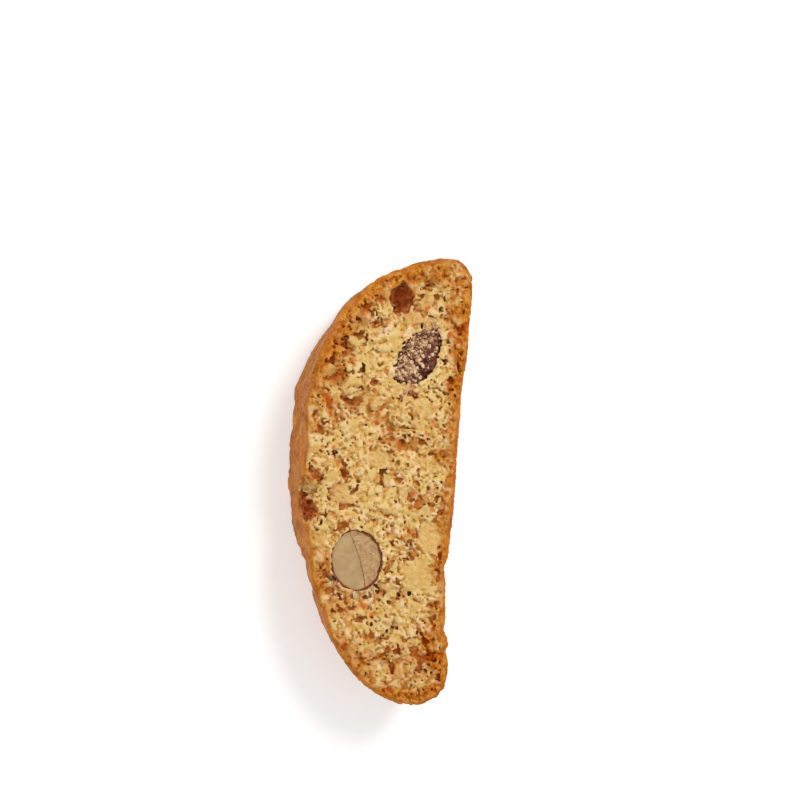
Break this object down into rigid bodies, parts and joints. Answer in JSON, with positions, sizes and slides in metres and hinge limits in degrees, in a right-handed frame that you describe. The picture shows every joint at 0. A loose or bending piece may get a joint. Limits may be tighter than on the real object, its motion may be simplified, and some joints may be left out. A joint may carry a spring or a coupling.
{
  "type": "almond biscotto",
  "caption": "Half-moon slice of twice-baked almond biscuit lying on its cut face, with a domed golden crust, pale open crumb and almonds showing in the cut.",
  "frame": {"origin": "middle of the box round the slice, on the surface that the lower cut face lies on", "axes": "+Y along the slice, +Z out of the upper cut face, +X towards the flat base crust, so the domed crust is on -X"},
  "size_m": [0.0342, 0.0928, 0.0174],
  "materials": {
    "crumb_and_crust": "dry pale yellow crumb inside a golden brown baked crust",
    "almond_flesh": "smooth cut almond, beige, with a thin red-brown skin",
    "almond_skin": "dark red-brown wrinkled almond skin"
  },
  "bodies": {
    "root": {"biscuit": "crumb_and_crust", "almond_lower": "almond_flesh", "almond_upper": "almond_skin"}
  },
  "joints": []
}
